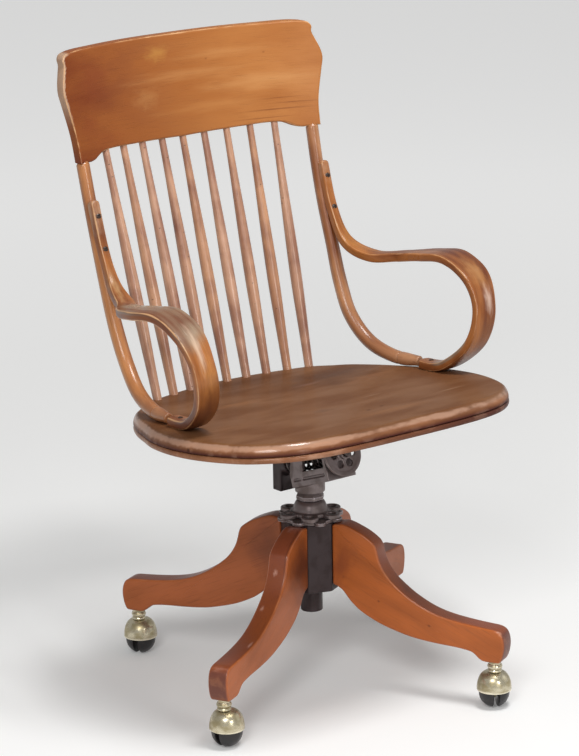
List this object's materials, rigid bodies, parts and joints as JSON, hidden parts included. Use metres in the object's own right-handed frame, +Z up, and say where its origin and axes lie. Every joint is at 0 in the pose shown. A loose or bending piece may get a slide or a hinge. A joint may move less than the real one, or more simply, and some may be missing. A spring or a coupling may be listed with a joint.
{
  "type": "swivel armchair",
  "caption": "Wooden swivel armchair: spindle back under a bowed crest rail, looped bent-wood arms, shaped seat on a tilting iron and height screw, scrolled legs on ball casters.",
  "frame": {"origin": "on the floor, in the middle of the rectangle that the chair covers", "axes": "+Z up, -Y the way the chair faces, +X to the sitter's left"},
  "size_m": [0.6052, 0.6392, 0.9599],
  "materials": {
    "seat_wood": "worn stained wood, shiny along the front rim",
    "crest_wood": "golden brown stained wood, satin",
    "turned_wood": "honey brown stained wood, satin to gloss",
    "arm_wood": "red-brown stained bent wood with worn edges",
    "leg_wood": "orange-brown stained wood, satin, with worn edges",
    "iron": "dark, dull, with a slight sheen",
    "steel": "dark, aged",
    "caster_metal": "mottled old brass, worn bright on its rings",
    "black_ball": "hard, black, satin"
  },
  "bodies": {
    "base": {"hub_column": "iron", "hub_plate": "iron", "leg_1": "leg_wood", "leg_2": "leg_wood", "leg_3": "leg_wood", "leg_4": "leg_wood", "caster_1_socket": "caster_metal", "caster_2_socket": "caster_metal", "caster_3_socket": "caster_metal", "caster_4_socket": "caster_metal"},
    "height_wheel": {"height_wheel": "iron"},
    "screw": {"screw_spindle": "steel", "swivel_collar": "iron"},
    "head": {"tilt_yoke": "iron", "pivot_pin": "steel", "tension_spring": "steel"},
    "tension": {"tension_bolt": "steel", "tension_wheel": "iron"},
    "spring_plate": {"spring_plate": "iron"},
    "seat": {"seat_iron": "iron", "seat_iron_screw_1": "steel", "seat_iron_screw_2": "steel", "seat_iron_screw_3": "steel", "seat_iron_screw_4": "steel", "seat": "seat_wood", "crest_rail": "crest_wood", "spindle_1": "turned_wood", "spindle_2": "turned_wood", "spindle_3": "turned_wood", "spindle_4": "turned_wood", "spindle_5": "turned_wood", "spindle_6": "turned_wood", "spindle_7": "turned_wood", "spindle_8": "turned_wood", "spindle_9": "turned_wood", "left_back_post": "turned_wood", "left_arm": "arm_wood", "left_upper_arm_screw": "steel", "left_lower_arm_screw": "steel", "left_post_foot_screw": "steel", "left_arm_foot_screw": "steel", "right_back_post": "turned_wood", "right_arm": "arm_wood", "right_upper_arm_screw": "steel", "right_lower_arm_screw": "steel", "right_post_foot_screw": "steel", "right_arm_foot_screw": "steel"},
    "caster_1_fork": {"caster_1_hood": "caster_metal", "caster_1_stem": "caster_metal"},
    "caster_1_ball": {"caster_1_wheels": "black_ball"},
    "caster_2_fork": {"caster_2_hood": "caster_metal", "caster_2_stem": "caster_metal"},
    "caster_2_ball": {"caster_2_wheels": "black_ball"},
    "caster_3_fork": {"caster_3_hood": "caster_metal", "caster_3_stem": "caster_metal"},
    "caster_3_ball": {"caster_3_wheels": "black_ball"},
    "caster_4_fork": {"caster_4_hood": "caster_metal", "caster_4_stem": "caster_metal"},
    "caster_4_ball": {"caster_4_wheels": "black_ball"}
  },
  "joints": [
    {"name": "height_slide", "type": "slide", "parent": "base", "child": "screw", "axis": [0, 0, 1], "range_m": [0, 0.07]},
    {"name": "height_wheel_turn", "type": "hinge", "parent": "base", "child": "height_wheel", "pos_m": [0, -0.02455, 0.27], "axis": [0, 0, 1], "range_deg": [-4200, 0]},
    {"name": "seat_swivel", "type": "hinge", "parent": "screw", "child": "head", "pos_m": [0, -0.02455, 0.31], "axis": [0, 0, 1], "continuous": true},
    {"name": "seat_tilt", "type": "hinge", "parent": "head", "child": "seat", "pos_m": [0, -0.02455, 0.39568], "axis": [-1, 0, 0], "range_deg": [0, 10], "stiffness_Nm_per_rad": 36, "springref_deg": -25.78, "deforming": ["tension_spring"]},
    {"name": "tension_wheel_turn", "type": "hinge", "parent": "head", "child": "tension", "pos_m": [0, -0.02455, 0.35018], "axis": [0, -0.9426, 0.3338], "range_deg": [0, 1080]},
    {"name": "spring_plate_slide", "type": "slide", "parent": "head", "child": "spring_plate", "axis": [0, 0.9426, -0.3338], "range_m": [0, 0.0075], "deforming": ["tension_spring"]},
    {"name": "caster_1_swivel", "type": "hinge", "parent": "base", "child": "caster_1_fork", "pos_m": [0.13113, -0.29437, 0.06], "axis": [0, 0, 1], "continuous": true},
    {"name": "caster_1_roll", "type": "hinge", "parent": "caster_1_fork", "child": "caster_1_ball", "pos_m": [0.13363, -0.29004, 0.02268], "axis": [-0.866, 0.5, 0], "continuous": true},
    {"name": "caster_2_swivel", "type": "hinge", "parent": "base", "child": "caster_2_fork", "pos_m": [0.26982, 0.10658, 0.06], "axis": [0, 0, 1], "continuous": true},
    {"name": "caster_2_roll", "type": "hinge", "parent": "caster_2_fork", "child": "caster_2_ball", "pos_m": [0.26895, 0.1115, 0.02268], "axis": [-0.9848, -0.1736, 0], "continuous": true},
    {"name": "caster_3_swivel", "type": "hinge", "parent": "base", "child": "caster_3_fork", "pos_m": [-0.13113, 0.24527, 0.06], "axis": [0, 0, 1], "continuous": true},
    {"name": "caster_3_roll", "type": "hinge", "parent": "caster_3_fork", "child": "caster_3_ball", "pos_m": [-0.1268, 0.24777, 0.02268], "axis": [-0.5, 0.866, 0], "continuous": true},
    {"name": "caster_4_swivel", "type": "hinge", "parent": "base", "child": "caster_4_fork", "pos_m": [-0.26982, -0.15568, 0.06], "axis": [0, 0, 1], "continuous": true},
    {"name": "caster_4_roll", "type": "hinge", "parent": "caster_4_fork", "child": "caster_4_ball", "pos_m": [-0.2649, -0.15481, 0.02268], "axis": [-0.1736, 0.9848, 0], "continuous": true}
  ],
  "couplings": [
    {"joint": "height_wheel_turn", "follows": "height_slide", "rad_per_m": -1047.2},
    {"joint": "spring_plate_slide", "follows": "tension_wheel_turn", "m_per_rad": 0.00039789}
  ]
}
